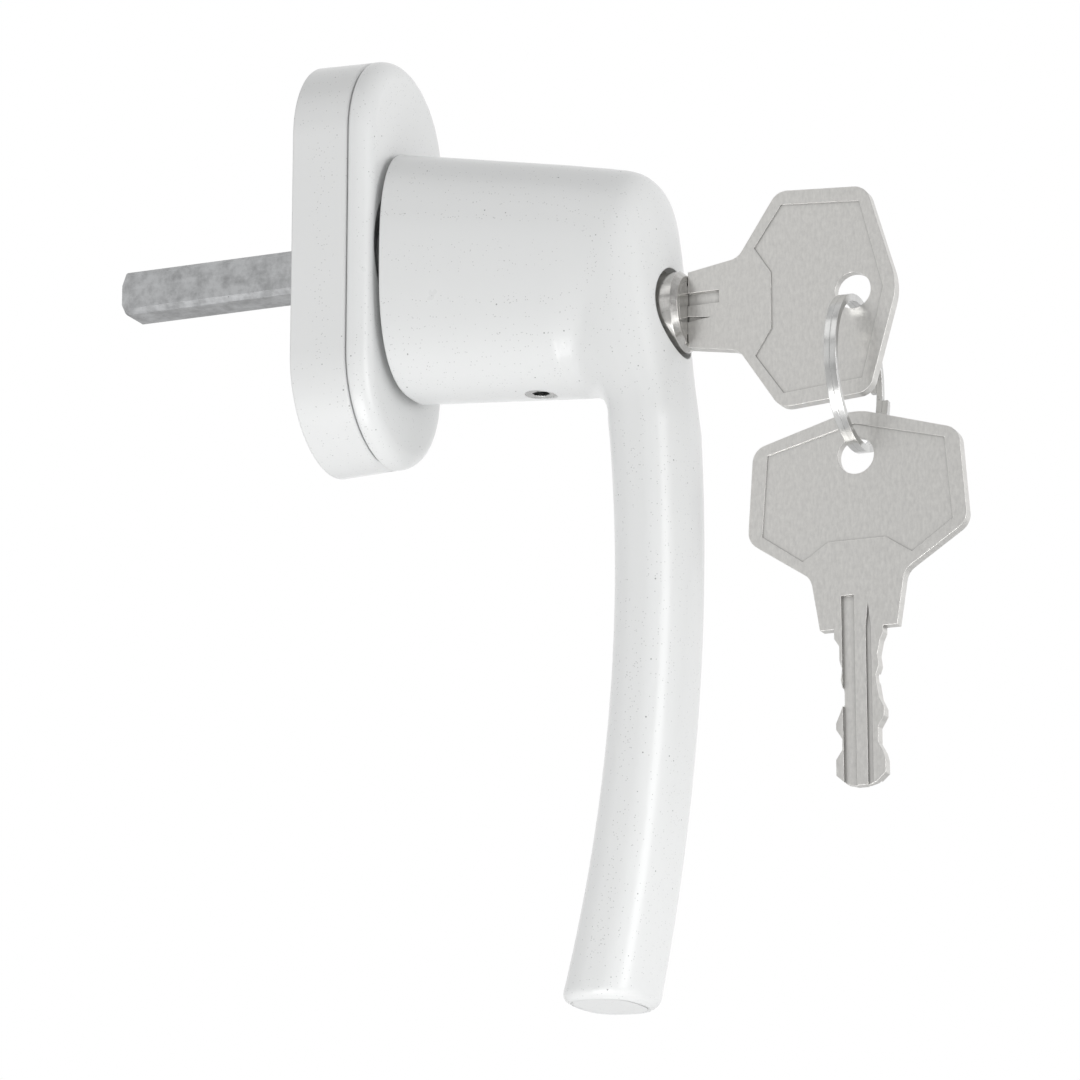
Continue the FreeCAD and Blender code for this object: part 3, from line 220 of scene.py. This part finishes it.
coat = powder_coat("white_powder_coat", (0.760, 0.768, 0.766), 0.30, 0.30, 0.12)
shell = powder_coat("white_shell_coat", (0.750, 0.757, 0.755), 0.22, 0.30, 0.03)
spindle_zinc = plated_steel("spindle_zinc", (0.25, 0.252, 0.256), (0.57, 0.578, 0.586), 0.34,
                            (1100.0, 60.0, 1100.0), patch=420.0, mottle=0.6)
key_nickel = plated_steel("key_nickel", (0.70, 0.69, 0.67), (0.80, 0.79, 0.765), 0.36,
                          (60.0, 2200.0, 900.0), patch=1300.0, mottle=0.5, pit_share=0.02)
lock_nickel = plated_steel("lock_nickel", (0.40, 0.39, 0.375), (0.66, 0.65, 0.63), 0.19,
                           (900.0, 200.0, 900.0), patch=700.0, mottle=0.45)
cast_zinc = plated_steel("cast_zinc", (0.20, 0.195, 0.19), (0.50, 0.495, 0.485), 0.40,
                         (500.0, 500.0, 500.0), patch=520.0, mottle=0.75)
bright_steel = plated_steel("bright_steel", (0.50, 0.50, 0.50), (0.74, 0.74, 0.73), 0.20,
                            (700.0, 700.0, 90.0), patch=200.0, mottle=0.3)
brass = plated_steel("brass", (0.52, 0.38, 0.16), (0.78, 0.60, 0.30), 0.30,
                     (400.0, 60.0, 400.0), patch=180.0, mottle=0.4)
bush_plastic = plastic("bush_plastic", (0.74, 0.74, 0.71), 0.42)

FINISHES = {
    coat: ("handle_lever", "rosette_cover"),
    shell: ("rosette_base",),
    spindle_zinc: ("spindle", "lock_plate", "lock_pin"),
    key_nickel: ("key_1", "key_2"),
    lock_nickel: ("cylinder_body", "cylinder_plug", "guide_bush"),
    cast_zinc: ("backing_disc", "detent_rotor"),
    bright_steel: ("key_ring", "retaining_screw", "wave_washer", "circlip", "plug_clip", "detent_balls",
                   "detent_springs", "return_spring", "latch_spring", "wafer_springs"),
    brass: ("latch", "cam", "wafers"),
    bush_plastic: ("bearing_bush", "detent_carrier"),
}
for finish, nodes in FINISHES.items():
    for node in nodes:
        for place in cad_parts[node].material_slots:
            place.material = finish


# Return spring ---------------------------------------------------------------------------------------

SPRING_WIRE = 0.00025      # radius of the wire
SPRING_TURNS = 7
TURN_STEPS = 28            # rings of points in one turn
WIRE_SIDES = 10
ALONG_Y = Vector((0.0, 1.0, 0.0))


def spring_coil(name, low, high):
    """A coil along Y that fills the box from low to high."""
    middle = (low + high) / 2.0
    radius = (high.x - low.x) / 2.0 - SPRING_WIRE
    start = low.y + SPRING_WIRE
    steps = SPRING_TURNS * TURN_STEPS
    rise = (high.y - low.y - 2.0 * SPRING_WIRE) / steps
    shape = bmesh.new()
    rings = []
    for step in range(steps + 1):
        turned = math.tau * step / TURN_STEPS
        outward = Vector((math.cos(turned), 0.0, math.sin(turned)))
        centre = Vector((middle.x, start + rise * step, middle.z)) + radius * outward
        ring = []
        for side in range(WIRE_SIDES):
            angle = math.tau * side / WIRE_SIDES
            around = math.cos(angle) * outward + math.sin(angle) * ALONG_Y
            ring.append(shape.verts.new(centre + SPRING_WIRE * around))
        rings.append(ring)
    for ring, following in zip(rings, rings[1:]):
        for side in range(WIRE_SIDES):
            beside = (side + 1) % WIRE_SIDES
            face = shape.faces.new((ring[side], ring[beside], following[beside], following[side]))
            face.smooth = True
    shape.faces.new(rings[0])
    shape.faces.new(rings[-1])
    bmesh.ops.recalc_face_normals(shape, faces=shape.faces)
    mesh = bpy.data.meshes.new(name)
    shape.to_mesh(mesh)
    shape.free()
    mesh.materials.append(bright_steel)
    piece = bpy.data.objects.new(name, mesh)
    show(piece)
    return piece


spring_low, spring_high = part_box("return_spring")
coil = spring_coil("return_coil", spring_low, spring_high)
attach(coil, "lever")
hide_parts("return_spring")
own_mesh(coil)


# Studio ----------------------------------------------------------------------------------------------

FLOOR_LEVEL = -0.75
FLOOR_REACH = 6.0
MIDDLE = Vector((0.0, -0.03, -0.04))      # about the middle of the object, where the lights point

# Name, place, width, height and power of each light.
LIGHTS = (
    ("key_light", (-0.55, 0.15, 0.75), 0.5, 0.5, 0.5),
    ("side_light", (-0.85, 0.40, 0.25), 0.5, 0.5, 0.3),
    ("room_light", (-0.10, -0.95, -0.05), 0.5, 0.7, 3.0),
    ("low_light", (-0.34, -0.10, -0.72), 0.7, 0.7, 5.1),
)

# The white surroundings are brightest in this direction and dimmest opposite it.
BRIGHT_SIDE = (0.87, 0.40, -0.28)
DIM_STRENGTH = 0.52
BRIGHT_STRENGTH = 1.0

CAMERA_BACK = 0.7037
CAMERA_RIGHT = 0.01146
CAMERA_DOWN = 0.02805
LENS_LENGTH = 149.9        # in mm, for a sensor 36 mm wide
AIM_RIGHT = 0.029798       # slope of the aim to the right of straight ahead
AIM_DOWN = 0.019124


def floor():
    """A wide pale floor under the object and the camera."""
    mesh = bpy.data.meshes.new("studio_floor")
    shape = bmesh.new()
    bmesh.ops.create_grid(shape, x_segments=1, y_segments=1, size=FLOOR_REACH)
    shape.to_mesh(mesh)
    shape.free()
    piece = bpy.data.objects.new("studio_floor", mesh)
    piece.location = (0.0, 0.0, FLOOR_LEVEL)
    graph = Graph("pale_floor")
    tone = graph.ramp(graph.noise(3.0, 2.0), ((0.3, (0.90, 0.90, 0.90)), (0.7, (0.92, 0.92, 0.92))))
    mesh.materials.append(graph.finish(tone, Roughness=0.85))
    show(piece)


def area_light(name, place, width, height, power):
    lamp = bpy.data.lights.new(name, "AREA")
    lamp.shape = "RECTANGLE"
    lamp.size = width
    lamp.size_y = height
    lamp.energy = power
    holder = bpy.data.objects.new(name, lamp)
    holder.location = place
    holder.rotation_euler = (MIDDLE - Vector(place)).to_track_quat("-Z", "Y").to_euler()
    show(holder)


def studio_world():
    """White surroundings that fade to a dimmer white away from the bright side."""
    world = bpy.data.worlds.new("studio")
    world.use_nodes = True
    tree = world.node_tree
    toward = tree.nodes.new("ShaderNodeTexCoord").outputs["Generated"]
    facing = tree.nodes.new("ShaderNodeVectorMath")
    facing.operation = "DOT_PRODUCT"
    facing.inputs[1].default_value = BRIGHT_SIDE
    tree.links.new(toward, facing.inputs[0])
    fade = tree.nodes.new("ShaderNodeMapRange")
    fade.inputs["From Min"].default_value = -0.7
    fade.inputs["From Max"].default_value = 0.75
    fade.inputs["To Min"].default_value = DIM_STRENGTH
    fade.inputs["To Max"].default_value = BRIGHT_STRENGTH
    tree.links.new(facing.outputs["Value"], fade.inputs["Value"])
    sky = tree.nodes["Background"]
    sky.inputs["Color"].default_value = (1.0, 1.0, 1.0, 1.0)
    tree.links.new(fade.outputs["Result"], sky.inputs["Strength"])
    bpy.context.scene.world = world
    bpy.context.scene.view_settings.view_transform = "Standard"


def camera():
    """A long lens 0.7 m away on the room side, below the object and looking slightly up."""
    back = Vector((-0.876, -0.401, -0.268))
    right = Vector((0.416, -0.909, 0.0))
    down = Vector((0.243, 0.111, -0.964))
    lens = bpy.data.cameras.new("camera")
    lens.sensor_width = 36.0
    lens.lens = LENS_LENGTH
    lens.clip_start = 0.01
    holder = bpy.data.objects.new("camera", lens)
    holder.location = CAMERA_RIGHT * right + CAMERA_DOWN * down + CAMERA_BACK * back
    aim = -back + AIM_RIGHT * right + AIM_DOWN * down
    holder.rotation_euler = aim.to_track_quat("-Z", "Y").to_euler()
    show(holder)
    bpy.context.scene.camera = holder


floor()
studio_world()
camera()
for name, place, width, height, power in LIGHTS:
    area_light(name, place, width, height, power)
